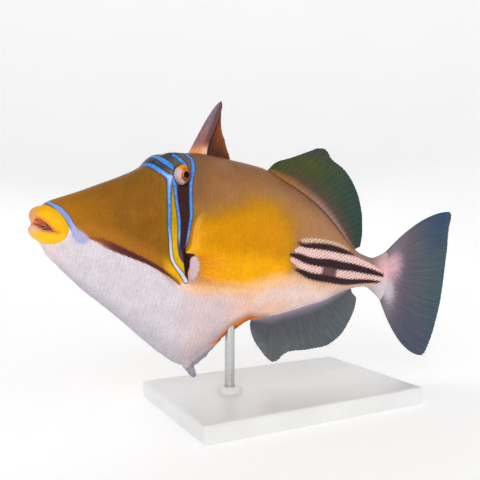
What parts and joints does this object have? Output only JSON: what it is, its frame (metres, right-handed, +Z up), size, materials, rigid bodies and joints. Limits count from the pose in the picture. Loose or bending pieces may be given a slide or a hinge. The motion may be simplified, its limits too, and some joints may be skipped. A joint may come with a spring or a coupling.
{
  "type": "triggerfish model",
  "caption": "Life-size swimming triggerfish with a deep keeled body, long snout, raised eyes, ray fins and a flared tail, held on a rod above a flat base for display.",
  "frame": {"origin": "on the floor, under the middle of the model's box", "axes": "+X towards the tail along the fish, +Y to the fish's right, +Z up"},
  "size_m": [0.2495, 0.08, 0.1534],
  "materials": {
    "skin": "painted satin skin with fine scales",
    "lips": "painted satin",
    "eye": "wet gloss",
    "dorsal_web": "painted satin, ribbed",
    "slate_web": "painted satin, ribbed",
    "pectoral_web": "painted satin, ribbed",
    "spine": "painted satin",
    "belly_rim": "painted satin",
    "stand_finish": "smooth satin white paint",
    "stand_steel": "satin"
  },
  "bodies": {
    "root": {"jaw_upper": "lips", "jaw_lower": "lips", "head": "skin", "torso": "skin", "peduncle": "skin", "eye_left": "eye", "eye_right": "eye", "dorsal_spine_fin": "spine", "dorsal_fin": "dorsal_web", "anal_fin": "slate_web", "caudal_fin": "slate_web", "pectoral_fin_left": "pectoral_web", "pectoral_fin_right": "pectoral_web", "ventral_flap": "belly_rim", "pelvic_spine": "belly_rim", "stand_base": "stand_finish", "stand_rod": "stand_steel"}
  },
  "joints": []
}
